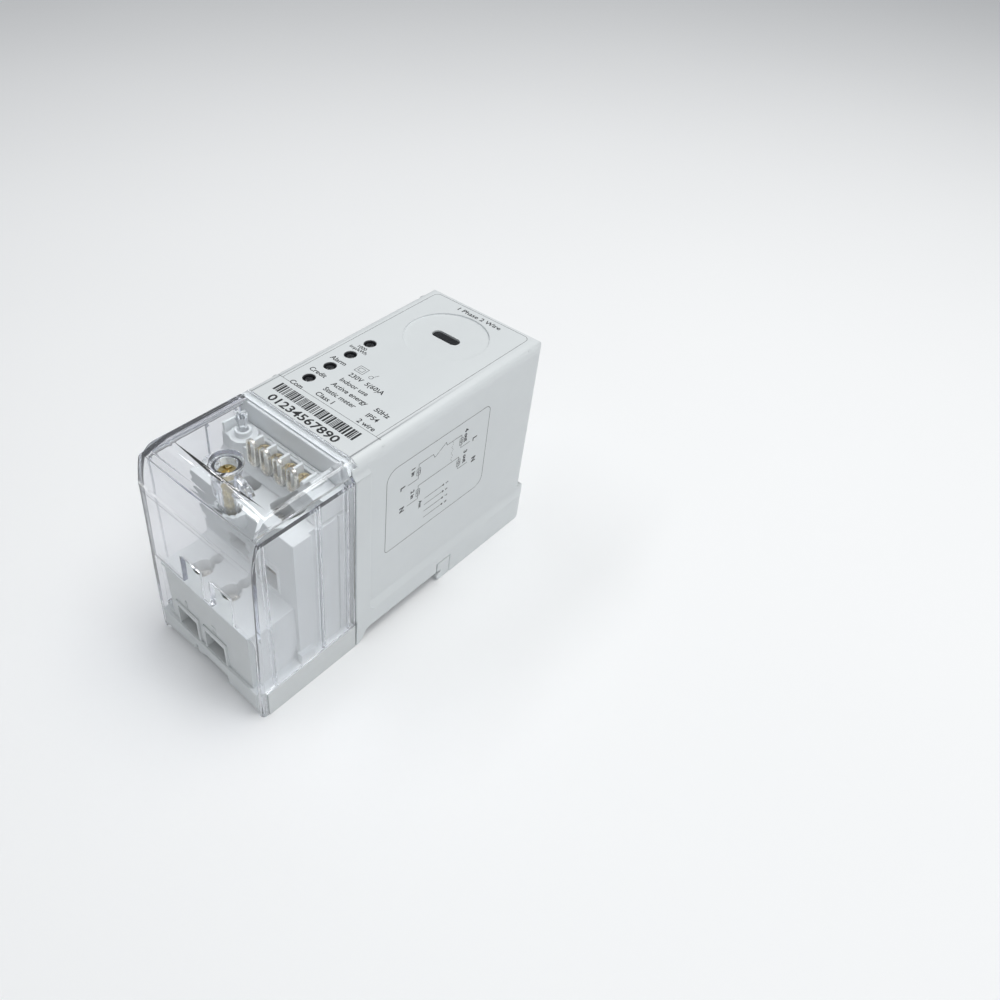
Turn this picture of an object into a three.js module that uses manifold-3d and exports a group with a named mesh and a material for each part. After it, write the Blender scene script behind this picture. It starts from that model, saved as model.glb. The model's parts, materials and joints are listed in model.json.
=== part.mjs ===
// Prepayment electricity meter for a 35 mm DIN rail: the metering unit with its clear terminal cover.
// Millimetres. The meter lies on its back, as on a bench: +Z points out of the label face, +X across
// its width, -Y towards the terminals and +Y towards the optical port. The origin is under the middle
// of the whole object, on the surface that the back rests on.
import * as THREE from "three";
import { mergeVertices } from "three/addons/utils/BufferGeometryUtils.js";
import Module from "manifold-3d";

const wasm = await Module();
wasm.setup();

// ---------- driving dimensions ----------
const WIDTH = 54; // three 18 mm rail modules
const LENGTH = 134;
const HEIGHT = 81.2; // the cover's top, 0.2 over the label face
const FACE_Z = 81;
const GAP = 0.3; // between neighbouring mouldings

const FRONT_Y = -LENGTH / 2;
const REAR_Y = LENGTH / 2;
const SPLIT_Y = -25.7; // the case's end wall, where cover and terminal block begin
const LIP_Y = -23.6; // the cover's top laps this far over a rebate in the case
const LIP_Z = 79.2;

// case
const SKIRT_HALF = WIDTH / 2;
const PANEL_HALF = 25.5; // the recessed side panels
const SKIRT_Z = 12;
const SKIRT_TOP_Z = 15.5;
const BAND_END_Y = -19.2; // raised band beside the cover
const BAND_Z = 75.3;
const BAND_TOP_Z = 77;
const EDGE_R = 4;
const WALL = 2;
const CAVITY_END_Y = REAR_Y - 1.5 - WALL;

// rail recess in the back
const RAIL_ROOF_Z = 4.7;
const RAIL_NEAR_Y = -19.1;
const RAIL_FAR_Y = 17.6;
const HOOK_TIP_Y = 15.6;
const HOOK_REAR_Y = 22.1;
const HOOK_Z = 3.4;
const HOOK_TOP_Z = 8.8; // the outer ends of the hooks
const PLATE_Z = 2.4; // thickness of the rear plate
const CLIP = { half: 6.7, room: 7.1, roofZ: 3.6 }; // the sprung clip and its channel
const PAD = { x: 13, halfX: 4, y0: -10, y1: 11 }; // the two pads that the rail bears on

// label face
const LED_X = -14.8;
const LED_Y = -5.75;
const LED_PITCH = 9.16;
const LED_COUNT = 4;
const LED_HOLE_R = 2.2;
const PORT_Y = 43.3;
const PORT_R = 14.67;
const PORT_DEPTH = 0.6;
const PORT_SLOT = { length: 11.2, width: 4.2 };

// terminal block
const LEDGE_Z = 10.8;
const LOW_HALF = 21.8;
const LOW_FRONT_Y = FRONT_Y + 1.2;
const LOW_Z = 35.35;
const HIGH_HALF = 23.3;
const HIGH_FRONT_Y = -48;
const HIGH_Z = 63.5;
const BLOCK_REAR_Y = -27.2;
const SEAL = { x: -1.2, y: -49.7, bossR: 5.4, bossZ: 54.6, boreR: 3.9 };
const SIDE_GROOVES = [
  { y0: -40.8, y1: -38.2, depth: 1.3 },
  { y0: -30.7, y1: -30, depth: 0.8 },
];

// the four main terminals: 1 and 2 are the supply side, 3 and 4 the load side
const MAIN = [
  { n: 1, x: -10.2, y: -57, z: 15.3, face: LOW_FRONT_Y, top: LOW_Z, holeR: 3.6 },
  { n: 2, x: 4.1, y: -57, z: 15.3, face: LOW_FRONT_Y, top: LOW_Z, holeR: 3.6 },
  { n: 3, x: -4.4, y: -40, z: 42.2, face: HIGH_FRONT_Y, top: HIGH_Z, holeR: 3.5 },
  { n: 4, x: 10, y: -40, z: 42.2, face: HIGH_FRONT_Y, top: HIGH_Z, holeR: 3.5 },
];
const ENTRY = { halfX: 4.9, halfZ: 4.15, frame: 1.1, proud: 0.6 };
const BUSBAR = { half: 4, thick: 1.8, lift: 0.05 };
const CAGE = { halfX: 4.85, halfY: 4.2, floor: 6.2, wall: 0.5, base: 1.6, over: 2.4, travel: 5 };
const MAIN_SCREW = { head: 9.8, headR: 3.1, headHeight: 2.5, shankR: 2.2 };

// the four auxiliary terminals and the cover switch
const AUX_X = [-6.1, -0.1, 5.9, 11.9];
const AUX_PITCH = 6;
const AUX_Y = -32.5;
const AUX_FRONT_Y = -36;
const AUX_FLOOR_Z = 67;
const AUX_SHELF_Z = 71;
const BARRIER_Z = 74;
const SHELF_LINE = { x0: -9.6, x1: 16.8, y0: -34, y1: -28.2, width: 0.4, depth: 0.5 };
const SWITCH = { x: -15.4, y: -32.8, towerR: 4.6, guideR: 2.7, bore: 1.75 };
const PLUNGER_Z = 72.4;

// clear cover
const COVER = {
  rear: SPLIT_Y - GAP,
  side: 1.8,
  top: 2,
  bottomZ: LEDGE_Z + GAP,
  frontZ: LOW_Z + 0.35,
  innerFrontY: -61,
  gateHalf: 24.9,
  legZ: 0.6, // the two front corners reach down past the ledge
  legRearY: -64.5,
  ribY: [-60, -39.5, -28.4],
  holeR: 5.1,
};

// ---------- shape helpers ----------
const SIDES = [-1, 1];
const count = (n) => [...Array(n).keys()];

function solid(geometry) {
  const plain = geometry.index ? geometry.toNonIndexed() : geometry.clone();
  plain.deleteAttribute("normal");
  plain.deleteAttribute("uv");
  const merged = mergeVertices(plain, 1e-4);
  return new wasm.Manifold(
    new wasm.Mesh({
      numProp: 3,
      vertProperties: merged.attributes.position.array,
      triVerts: new Uint32Array(merged.index.array),
    }),
  );
}

function join(...pieces) {
  return pieces.reduce((whole, piece) => whole.add(piece));
}

function cut(body, ...tools) {
  return tools.reduce((left, tool) => left.subtract(tool), body);
}

function block(x0, x1, y0, y1, z0, z1) {
  const g = new THREE.BoxGeometry(x1 - x0, y1 - y0, z1 - z0);
  return solid(g.translate((x0 + x1) / 2, (y0 + y1) / 2, (z0 + z1) / 2));
}

// A turned piece about a vertical axis: profile is a list of [radius, z].
function turned(x, y, profile, sides = 20) {
  const points = profile.map(([r, z]) => new THREE.Vector2(r, z));
  const g = new THREE.LatheGeometry(points, sides);
  return solid(g.rotateX(Math.PI / 2).translate(x, y, 0));
}

function post(x, y, r, z0, z1, sides = 20) {
  return turned(x, y, [[0, z0], [r, z0], [r, z1], [0, z1]], sides);
}

// The same about an axis along Y: profile is a list of [radius, y].
function turnedAlongY(x, z, profile, sides = 20) {
  const points = profile.map(([r, y]) => new THREE.Vector2(r, y));
  return solid(new THREE.LatheGeometry(points, sides).translate(x, 0, z));
}

function outline(points) {
  return new THREE.Shape(points.map(([a, b]) => new THREE.Vector2(a, b)));
}

function extruded(shape, depth, curveSegments) {
  return new THREE.ExtrudeGeometry(shape, { depth, bevelEnabled: false, curveSegments });
}

// A shape drawn in (Y, Z), swept from x0 to x1.
function alongX(shape, x0, x1, curveSegments = 10) {
  const axes = [new THREE.Vector3(0, 1, 0), new THREE.Vector3(0, 0, 1), new THREE.Vector3(1, 0, 0)];
  const turn = new THREE.Matrix4().makeBasis(...axes);
  return solid(extruded(shape, x1 - x0, curveSegments).applyMatrix4(turn).translate(x0, 0, 0));
}

// A shape drawn in (X, Z), swept from y0 to y1.
function alongY(shape, y0, y1, curveSegments = 10) {
  const g = extruded(shape, y1 - y0, curveSegments).rotateX(Math.PI / 2);
  return solid(g.translate(0, y1, 0));
}

// A shape drawn in (X, Y), swept from z0 to z1.
function alongZ(shape, z0, z1, curveSegments = 10) {
  return solid(extruded(shape, z1 - z0, curveSegments).translate(0, 0, z0));
}

// A slot with round ends, centred on (x, y), its length along X.
function roundSlot(x, y, length, width) {
  const r = width / 2;
  const reach = length / 2 - r;
  const s = new THREE.Shape();
  s.moveTo(x - reach, y - r);
  s.absarc(x + reach, y, r, -Math.PI / 2, Math.PI / 2, false);
  s.absarc(x - reach, y, r, Math.PI / 2, (3 * Math.PI) / 2, false);
  return s;
}

// ---------- materials ----------
const material = (color, roughness, metalness = 0, extra = {}) =>
  new THREE.MeshStandardMaterial({ color, roughness, metalness, ...extra });
const CLEAR = { transparent: true, opacity: 0.35 };
const casePlastic = material(0xdde1e4, 0.45);
const blockPlastic = material(0xd8dbdd, 0.5);
const clearPlastic = material(0xdfe4f0, 0.08, 0, CLEAR);
const brass = material(0xb8923c, 0.35, 1);
const nickel = material(0xb9b7af, 0.3, 1);
const steel = material(0x9ea1a3, 0.4, 1);
const copper = material(0xb87348, 0.35, 1);
const darkLens = material(0x14161a, 0.15);
const boardGreen = material(0x1f6b3a, 0.55);
const boardBlue = material(0x1d4a80, 0.55);
const blackPlastic = material(0x1b1c1e, 0.5);
const greyPlastic = material(0xb5b9bb, 0.5);
const bluePlastic = material(0x2a5aa0, 0.4);
const windingCopper = material(0xa3582c, 0.45, 0.6);
const rubber = material(0x3a3c3e, 0.85);

const meter = new THREE.Group();

function add(name, manifold, finish) {
  const { vertProperties, triVerts } = manifold.getMesh();
  const g = new THREE.BufferGeometry();
  g.setAttribute("position", new THREE.BufferAttribute(vertProperties, 3));
  g.setIndex(new THREE.BufferAttribute(triVerts, 1));
  const flat = g.toNonIndexed();
  flat.computeVertexNormals();
  const mesh = new THREE.Mesh(flat, finish);
  mesh.name = name;
  meter.add(mesh);
}

// ---------- case ----------
// Cross-section of a box with rounded upper corners.
function roundedSection(half, top, r) {
  const s = new THREE.Shape();
  s.moveTo(-half, 0);
  s.lineTo(half, 0);
  s.lineTo(half, top - r);
  s.absarc(half - r, top - r, r, 0, Math.PI / 2, false);
  s.lineTo(-half + r, top);
  s.absarc(-half + r, top - r, r, Math.PI / 2, Math.PI, false);
  return s;
}

// Plan with two rounded corners at the far end.
function roundedPlan(half, y0, y1, r) {
  const s = new THREE.Shape();
  s.moveTo(-half, y0);
  s.lineTo(half, y0);
  s.lineTo(half, y1 - r);
  s.absarc(half - r, y1 - r, r, 0, Math.PI / 2, false);
  s.lineTo(-half + r, y1);
  s.absarc(-half + r, y1 - r, r, Math.PI / 2, Math.PI, false);
  return s;
}

function endProfile(y0, y1, top, r) {
  const s = new THREE.Shape();
  s.moveTo(y0, 0);
  s.lineTo(y1, 0);
  s.lineTo(y1, top - r);
  s.absarc(y1 - r, top - r, r, 0, Math.PI / 2, false);
  s.lineTo(y0, top);
  return s;
}

function upperCase() {
  const farY = REAR_Y - (SKIRT_HALF - PANEL_HALF);
  return alongY(roundedSection(PANEL_HALF, FACE_Z, EDGE_R), SPLIT_Y, farY)
    .intersect(alongX(endProfile(SPLIT_Y, farY, FACE_Z, EDGE_R - 1), -WIDTH, WIDTH))
    .intersect(alongZ(roundedPlan(PANEL_HALF, SPLIT_Y, farY, EDGE_R), 0, FACE_Z));
}

function skirt() {
  const inner = SKIRT_HALF - PANEL_HALF;
  const section = outline([
    [-SKIRT_HALF, 0],
    [SKIRT_HALF, 0],
    [SKIRT_HALF, SKIRT_Z],
    [PANEL_HALF, SKIRT_TOP_Z],
    [-PANEL_HALF, SKIRT_TOP_Z],
    [-SKIRT_HALF, SKIRT_Z],
  ]);
  const end = outline([
    [SPLIT_Y, 0],
    [REAR_Y - 1, 0],
    [REAR_Y, 1],
    [REAR_Y, SKIRT_Z],
    [REAR_Y - inner, SKIRT_TOP_Z],
    [SPLIT_Y, SKIRT_TOP_Z],
  ]);
  return alongY(section, SPLIT_Y, REAR_Y)
    .intersect(alongX(end, -WIDTH, WIDTH))
    .intersect(alongZ(roundedPlan(SKIRT_HALF, SPLIT_Y, REAR_Y, EDGE_R + 1), 0, SKIRT_TOP_Z));
}

// The raised band beside the cover, with a fillet where it runs into the skirt.
function band() {
  const section = outline([
    [-SKIRT_HALF, 0],
    [SKIRT_HALF, 0],
    [SKIRT_HALF, BAND_Z],
    [PANEL_HALF, BAND_TOP_Z],
    [-PANEL_HALF, BAND_TOP_Z],
    [-SKIRT_HALF, BAND_Z],
  ]);
  const r = EDGE_R;
  const fillet = new THREE.Shape();
  fillet.moveTo(BAND_END_Y - 1, SKIRT_Z - 1);
  fillet.lineTo(BAND_END_Y + r, SKIRT_Z - 1);
  fillet.lineTo(BAND_END_Y + r, SKIRT_Z);
  fillet.absarc(BAND_END_Y + r, SKIRT_Z + r, r, -Math.PI / 2, -Math.PI, true);
  fillet.lineTo(BAND_END_Y - 1, SKIRT_Z + r);
  return join(alongY(section, SPLIT_Y, BAND_END_Y), alongX(fillet, -SKIRT_HALF, SKIRT_HALF));
}

// Side view of the space that the rail and its hooks take out of the case.
function railRecess(nearY) {
  const s = new THREE.Shape();
  s.moveTo(nearY, -1);
  s.lineTo(nearY, 0);
  s.bezierCurveTo(nearY + 3.6, 0, nearY + 2.6, RAIL_ROOF_Z, RAIL_NEAR_Y, RAIL_ROOF_Z);
  s.lineTo(HOOK_TIP_Y - 0.5, RAIL_ROOF_Z);
  s.lineTo(HOOK_TIP_Y - 0.5, HOOK_TOP_Z + GAP);
  s.lineTo(HOOK_REAR_Y + GAP, HOOK_TOP_Z + GAP);
  s.lineTo(HOOK_REAR_Y + GAP, -1);
  return s;
}

// Case screws: place, and the height of the face they go in from (the near pair is in the rail recess).
const CASE_SCREWS = [
  [-20.3, -12, RAIL_ROOF_Z],
  [20.3, -12, RAIL_ROOF_Z],
  [-20, 58, 0],
  [20, 58, 0],
];
const POST_R = 2.8;
const busbarZ = (t) => t.z + ENTRY.halfZ + BUSBAR.lift;
const cageTop = (t) => busbarZ(t) + BUSBAR.thick + CAGE.over;

function busbarSlot(t, y0, y1) {
  const z = busbarZ(t);
  const side = BUSBAR.half + GAP;
  return block(t.x - side, t.x + side, y0, y1, z - GAP, z + BUSBAR.thick + GAP);
}

// A screw post, tied to the side wall by a web.
function casePost([x, y, faceZ]) {
  const foot = Math.max(faceZ + 2.3, PLATE_Z + 0.4);
  const wallX = Math.sign(x) * (PANEL_HALF - WALL + 1);
  const top = FACE_Z - 1;
  const web = block(Math.min(x, wallX), Math.max(x, wallX), y - 0.8, y + 0.8, 30, top);
  return cut(join(post(x, y, POST_R, foot, top, 12), web), post(x, y, 1.6, foot - 1, faceZ + 18, 10));
}

// The hollow inside, with the stiffer corner that carries the rebate for the cover's lip.
function caseCavity() {
  const inside = PANEL_HALF - WALL;
  const y0 = SPLIT_Y + WALL;
  const corner = block(-inside, inside, y0 - 1, y0 + WALL, LIP_Z - 2 * WALL, FACE_Z);
  return cut(block(-inside, inside, y0, CAVITY_END_Y, -1, FACE_Z - WALL), corner);
}

function caseShell() {
  const y0 = SPLIT_Y - 1;
  const y1 = SPLIT_Y + WALL + 1;
  const rim = block(-20.5, 20.5, SPLIT_Y - 1.2, SPLIT_Y + 1, 62.4, LIP_Z - 0.7);
  const hollow = cut(join(upperCase(), skirt(), band(), rim), caseCavity());
  const body = join(hollow, ...CASE_SCREWS.map(casePost));
  const rebate = block(-WIDTH, WIDTH, y0, LIP_Y + GAP, LIP_Z - GAP, 90);
  const leds = count(LED_COUNT).map((k) => post(LED_X, LED_Y + k * LED_PITCH, LED_HOLE_R, 70, 90));
  const port = post(0, PORT_Y, PORT_R, FACE_Z - PORT_DEPTH, 90, 48);
  const window = alongZ(roundSlot(0, PORT_Y, PORT_SLOT.length, PORT_SLOT.width), 70, 90);
  const slots = MAIN.map((t) => busbarSlot(t, y0, y1));
  const rail = alongX(railRecess(SPLIT_Y + GAP), -WIDTH, WIDTH, 8);
  const clip = block(-CLIP.room, CLIP.room, y0, y1, -1, CLIP.roofZ);
  return cut(body, rebate, ...leds, port, window, ...slots, rail, clip);
}

// Closes the back, forms the roof of the rail recess and carries the two fixed hooks.
function rearPlate() {
  const half = PANEL_HALF - WALL - GAP;
  const y0 = SPLIT_Y + WALL + GAP;
  const y1 = CAVITY_END_Y - GAP;
  const roofTop = RAIL_ROOF_Z + 2;
  const s = new THREE.Shape();
  s.moveTo(y0, 0);
  s.bezierCurveTo(y0 + 2.4, 0, y0 + 1.6, RAIL_ROOF_Z, RAIL_NEAR_Y, RAIL_ROOF_Z);
  s.lineTo(RAIL_FAR_Y, RAIL_ROOF_Z);
  s.lineTo(RAIL_FAR_Y, HOOK_Z);
  s.lineTo(HOOK_TIP_Y, HOOK_Z - 0.4);
  s.lineTo(HOOK_TIP_Y, 1.2);
  s.lineTo(HOOK_TIP_Y + 1.2, 0);
  s.lineTo(y1, 0);
  s.lineTo(y1, PLATE_Z);
  s.lineTo(HOOK_REAR_Y + PLATE_Z, PLATE_Z);
  s.lineTo(HOOK_REAR_Y, roofTop);
  s.lineTo(RAIL_NEAR_Y - 1.6, roofTop);
  s.lineTo(y0, 3.4);
  const plate = alongX(s, -half, half, 8);
  const finger = outline([
    [HOOK_TIP_Y, 1.2],
    [HOOK_TIP_Y + 1.2, 0],
    [HOOK_REAR_Y, 0],
    [HOOK_REAR_Y, HOOK_TOP_Z],
    [HOOK_TIP_Y, HOOK_TOP_Z],
    [HOOK_TIP_Y, RAIL_ROOF_Z],
    [RAIL_FAR_Y, RAIL_ROOF_Z],
    [RAIL_FAR_Y, HOOK_Z],
    [HOOK_TIP_Y, HOOK_Z - 0.4],
  ]);
  const fingers = [alongX(finger, half - 3, SKIRT_HALF), alongX(finger, -SKIRT_HALF, 3 - half)];
  const pads = SIDES.map((side) => {
    const x = side * PAD.x;
    return block(x - PAD.halfX, x + PAD.halfX, PAD.y0, PAD.y1, RAIL_ROOF_Z - 0.3, RAIL_ROOF_Z + 1);
  });
  const channel = block(-CLIP.room, CLIP.room, y0 - 1, -13, -1, CLIP.roofZ);
  return cut(join(plate, ...fingers, ...pads), ...CASE_SCREWS.map(screwHole), channel);
}

// A countersunk hole in the rear plate for a case screw.
function screwHole([x, y, z]) {
  const floor = z + 1.1;
  const profile = [[0, z - 1], [3.4, z - 1], [3.4, floor], [1.9, floor], [1.9, z + 8], [0, z + 8]];
  return turned(x, y, profile, 14);
}

function caseScrew(x, y, z) {
  const profile = [[0, z + 0.2], [3, z + 0.2], [3, z + 0.8], [1.3, z + 0.8], [1.3, z + 15], [0, z + 16]];
  return cut(turned(x, y, profile, 14), block(x - 1.9, x + 1.9, y - 0.3, y + 0.3, z, z + 0.5));
}

// ---------- terminal block ----------
function ledge() {
  const r = 3.2;
  const s = new THREE.Shape();
  s.moveTo(SPLIT_Y - GAP, 0);
  s.lineTo(SPLIT_Y - GAP, LEDGE_Z);
  s.lineTo(FRONT_Y, LEDGE_Z);
  s.lineTo(FRONT_Y, r);
  s.absarc(FRONT_Y + r, r, r, Math.PI, 1.5 * Math.PI, false);
  return alongX(s, -SKIRT_HALF, SKIRT_HALF);
}

// The round boss that takes the cover's sealing screw, drawn in at its foot.
function sealBoss() {
  const { x, y, bossR: r, bossZ } = SEAL;
  const foot = bossZ + r - 2;
  const round = turned(x, y, [[0, bossZ], [r - 2, bossZ], [r, foot], [r, HIGH_Z], [0, HIGH_Z]], 28);
  return join(round, block(x - r, x + r, y, HIGH_FRONT_Y + 0.5, foot, HIGH_Z));
}

// Everything one main terminal takes out of the block: screw access, cage room, cable entry, busbar.
function terminalRoom(t) {
  const roof = cageTop(t) + CAGE.travel + 0.35;
  const sideX = CAGE.halfX + 0.35;
  const sideY = CAGE.halfY + 0.5;
  const entryZ = [t.z - ENTRY.halfZ, t.z + ENTRY.halfZ];
  const rooms = [
    post(t.x, t.y, t.holeR, roof - 1, t.top + 1),
    block(t.x - sideX, t.x + sideX, t.y - sideY, t.y + sideY, t.z - CAGE.floor - GAP, roof),
    block(t.x - ENTRY.halfX, t.x + ENTRY.halfX, t.face - 2, t.y, ...entryZ),
    busbarSlot(t, t.y - 5, SPLIT_Y),
  ];
  if (t.top === LOW_Z) {
    const keyY = t.y + 5.2;
    rooms.push(post(t.x, keyY, 2, roof + 1, t.top + 1, 14));
    rooms.push(block(t.x - 1.3, t.x + 1.3, t.y, keyY, roof + 1, t.top + 1));
  }
  return rooms;
}

// The raised frame around a cable entry; the lower pair stands on the ledge.
function entryFrame(t) {
  const halfX = ENTRY.halfX + ENTRY.frame;
  const below = ENTRY.halfZ + (t.face === LOW_FRONT_Y ? GAP : ENTRY.frame);
  const above = ENTRY.halfZ + ENTRY.frame + 1;
  return block(t.x - halfX, t.x + halfX, t.face - ENTRY.proud, t.face + 1, t.z - below, t.z + above);
}

// The shallow arch in the ledge over the end of the rail clip.
function clipMouth() {
  const arch = outline([
    [-24, -1],
    [10, -1],
    [10, 3.2],
    [9.2, 6],
    [-1, 6.2],
    [-5.2, 4.8],
    [-24, 3.2],
  ]);
  return alongY(arch, FRONT_Y - 1, FRONT_Y + 4);
}

// Room for the cover's two legs, a slit beside the arch, and the sunk strip left of the entries.
function frontCuts() {
  const legX = COVER.gateHalf - GAP;
  const legY = COVER.legRearY + GAP;
  const y0 = FRONT_Y - 1;
  return [
    block(legX, WIDTH, y0, legY, -1, LEDGE_Z + 1),
    block(-WIDTH, -legX, y0, legY, -1, LEDGE_Z + 1),
    block(-7, -6.2, y0, FRONT_Y + 1, 3, 7.4),
    block(-WIDTH, -19.6, y0, LOW_FRONT_Y + 1, LEDGE_Z + 1.4, LOW_Z - 1.2),
  ];
}

function terminalBlock() {
  const low = block(-LOW_HALF, LOW_HALF, LOW_FRONT_Y, HIGH_FRONT_Y + 2, LEDGE_Z - 1, LOW_Z);
  const high = block(-HIGH_HALF, HIGH_HALF, HIGH_FRONT_Y, BLOCK_REAR_Y, LEDGE_Z - 1, HIGH_Z);
  const catches = SIDES.map((side) => {
    const x = side * (HIGH_HALF + 0.6);
    return block(x - 1.2, x + 1.2, -49, -43, LEDGE_Z - 1, LEDGE_Z + 4.2);
  });
  const body = join(ledge(), low, high, sealBoss(), ...catches, ...MAIN.map(entryFrame));
  const grooves = SIDES.flatMap((side) =>
    SIDE_GROOVES.map(({ y0, y1, depth }) => {
      const x = side * HIGH_HALF;
      return block(x - depth, x + depth, y0, y1, LEDGE_Z, HIGH_Z + 1);
    }),
  );
  const sealHole = post(SEAL.x, SEAL.y, SEAL.boreR, SEAL.bossZ + 2, HIGH_Z + 1);
  const clipRoom = block(-CLIP.room, CLIP.room, FRONT_Y - 1, SPLIT_Y, -1, CLIP.roofZ);
  const rooms = MAIN.flatMap(terminalRoom);
  return cut(body, ...rooms, ...grooves, sealHole, clipRoom, clipMouth(), ...frontCuts());
}

// A rising cage: its tapped top climbs the screw and its floor lifts the wire to the busbar.
function mainCage(t) {
  const { halfX, halfY, base } = CAGE;
  const floor = t.z - CAGE.floor;
  const top = cageTop(t);
  const roomX = halfX - CAGE.wall;
  const frame = block(t.x - halfX, t.x + halfX, t.y - halfY, t.y + halfY, floor, top);
  const room = block(t.x - roomX, t.x + roomX, t.y - 6, t.y + 6, floor + base, top - 2);
  return cut(frame, room, post(t.x, t.y, MAIN_SCREW.shankR + GAP, floor + 2, top + 1, 14));
}

// The two bars of a cross recess, from z up.
function crossRecess(x, y, z, reach, width) {
  return [
    block(x - reach, x + reach, y - width / 2, y + width / 2, z, z + 5),
    block(x - width / 2, x + width / 2, y - reach, y + reach, z, z + 5),
  ];
}

function mainScrew(t) {
  const { shankR, headR, headHeight } = MAIN_SCREW;
  const tip = busbarZ(t) + BUSBAR.thick + GAP;
  const head = t.z + ENTRY.halfZ + MAIN_SCREW.head;
  const top = head + headHeight;
  const profile = [
    [0, tip],
    [shankR, tip],
    [shankR, head],
    [headR, head],
    [headR, top - 0.5],
    [headR - 0.4, top],
    [0, top],
  ];
  return cut(turned(t.x, t.y, profile, 18), ...crossRecess(t.x, t.y, head + 1, 1.9, 0.8));
}

// Busbar 2 goes on through the current transformer.
function busbar(t) {
  const z = busbarZ(t);
  const end = t.n === 2 ? -9 : -12.5;
  return block(t.x - BUSBAR.half, t.x + BUSBAR.half, t.y - 3.8, end, z, z + BUSBAR.thick);
}

// Rubber frame between the terminal block and the case's end wall.
function gasket() {
  const y1 = SPLIT_Y - GAP;
  const outer = block(-22, 22, BLOCK_REAR_Y + GAP, y1, 12, 62);
  return cut(outer, block(-19, 19, -30, -20, 15, 59));
}

// ---------- auxiliary terminals and cover switch ----------
const AUX_MOUTH_Z = AUX_FLOOR_Z + 1.4;

// The round-bottomed opening in front of one auxiliary screw.
function auxMouth(x) {
  const front = AUX_FRONT_Y - 1;
  const profile = [[0, front], [2, front], [2, -34], [0, -34]];
  return [
    block(x - 2, x + 2, front, AUX_FRONT_Y + 1.5, AUX_MOUTH_Z, 80),
    turnedAlongY(x, AUX_MOUTH_Z, profile, 16),
  ];
}

// The round tower over the cover switch, with the guide that the cover's pin goes into.
function switchTower(foot) {
  const { x, y, towerR, guideR } = SWITCH;
  return join(post(x, y, towerR, foot, 72.3, 24), post(x, y, guideR, 70, 74.2));
}

// A fine line sunk in the shelf, round the far and right sides of the four terminals.
function shelfLine() {
  const { x0, x1, y0, y1, width, depth } = SHELF_LINE;
  const z = AUX_SHELF_Z - depth;
  return [
    block(x0, x1, y1 - width, y1, z, AUX_SHELF_Z + 1),
    block(x1 - width, x1, y0, y1, z, AUX_SHELF_Z + 1),
  ];
}

function auxBlock() {
  const rear = BLOCK_REAR_Y;
  const foot = HIGH_Z + GAP;
  const s = outline([
    [AUX_FRONT_Y - 2, foot],
    [rear, foot],
    [rear, AUX_SHELF_Z],
    [AUX_FRONT_Y, AUX_SHELF_Z],
    [AUX_FRONT_Y, foot + 2],
  ]);
  const first = AUX_X[0] - AUX_PITCH / 2;
  const last = AUX_X[3] + AUX_PITCH / 2;
  const body = alongX(s, -HIGH_HALF + 0.8, HIGH_HALF - 0.8);
  const trough = block(first, last, AUX_FRONT_Y + 1, -29.6, AUX_FLOOR_Z, 80);
  const wall = block(first, last, AUX_FRONT_Y, AUX_FRONT_Y + 1, foot + 1, BARRIER_Z - 1);
  const barriers = [...AUX_X.map((x) => x - AUX_PITCH / 2), last].map((x) =>
    block(x - 0.5, x + 0.5, AUX_FRONT_Y, -30.2, AUX_FLOOR_Z - 1, BARRIER_Z),
  );
  const fin = block(-21.7, -20.7, AUX_FRONT_Y, rear, foot + 1, 75);
  const screwHoles = AUX_X.map((x) => post(x, AUX_Y, 1.6, 64.5, 68, 12));
  const switchRoom = block(SWITCH.x - 3.6, SWITCH.x + 3.6, -36.1, -29.5, foot - 1, 67);
  const bore = post(SWITCH.x, SWITCH.y, SWITCH.bore, 64, 80, 16);
  const whole = join(cut(body, trough), wall, ...barriers, switchTower(foot), fin);
  return cut(whole, ...AUX_X.flatMap(auxMouth), ...screwHoles, ...shelfLine(), switchRoom, bore);
}

// Nickel strip bent into a loop in front of the screw, with the clamping plate behind it.
function auxClamp(x) {
  const r = 2.15;
  const lowZ = 69.8;
  const highZ = 75.6;
  const drawLoop = (path, radius) => {
    path.moveTo(x - radius, lowZ);
    path.absarc(x, lowZ, radius, Math.PI, 2 * Math.PI, false);
    path.absarc(x, highZ, radius, 0, Math.PI, false);
    return path;
  };
  const ring = drawLoop(new THREE.Shape(), r);
  ring.holes.push(drawLoop(new THREE.Path(), r - 0.75));
  const loop = alongY(ring, AUX_FRONT_Y - 1.35, AUX_FRONT_Y - GAP, 8);
  const tongue = block(x - 1.2, x + 1.2, AUX_FRONT_Y - 1, AUX_Y, AUX_MOUTH_Z, AUX_MOUTH_Z + 1);
  const plate = block(x - 2.2, x + 2.2, AUX_Y - 2.2, AUX_Y + 2.2, AUX_MOUTH_Z, AUX_MOUTH_Z + 1);
  return cut(join(loop, tongue, plate), post(x, AUX_Y, 1.6, AUX_FLOOR_Z, 71, 12));
}

function auxScrew(x) {
  const under = AUX_MOUTH_Z + 1.3;
  const top = under + 2.2;
  const profile = [
    [0, under - 4.7],
    [1.2, under - 4.7],
    [1.2, under],
    [2.2, under],
    [2.2, top - 0.6],
    [1.7, top],
    [0, top],
  ];
  return cut(turned(x, AUX_Y, profile, 16), ...crossRecess(x, AUX_Y, 71, 1.3, 0.6));
}

function switchBody() {
  return block(SWITCH.x - 3.2, SWITCH.x + 3.2, -35.6, -29.9, HIGH_Z + 2 * GAP, 66.7);
}

function switchPlunger() {
  const r = SWITCH.bore - 0.35;
  const foot = PLUNGER_Z - 3.4;
  const profile = [[0, foot], [r, foot], [r, PLUNGER_Z - 0.4], [r - 0.4, PLUNGER_Z], [0, PLUNGER_Z]];
  return turned(SWITCH.x, SWITCH.y, profile, 14);
}

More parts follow.
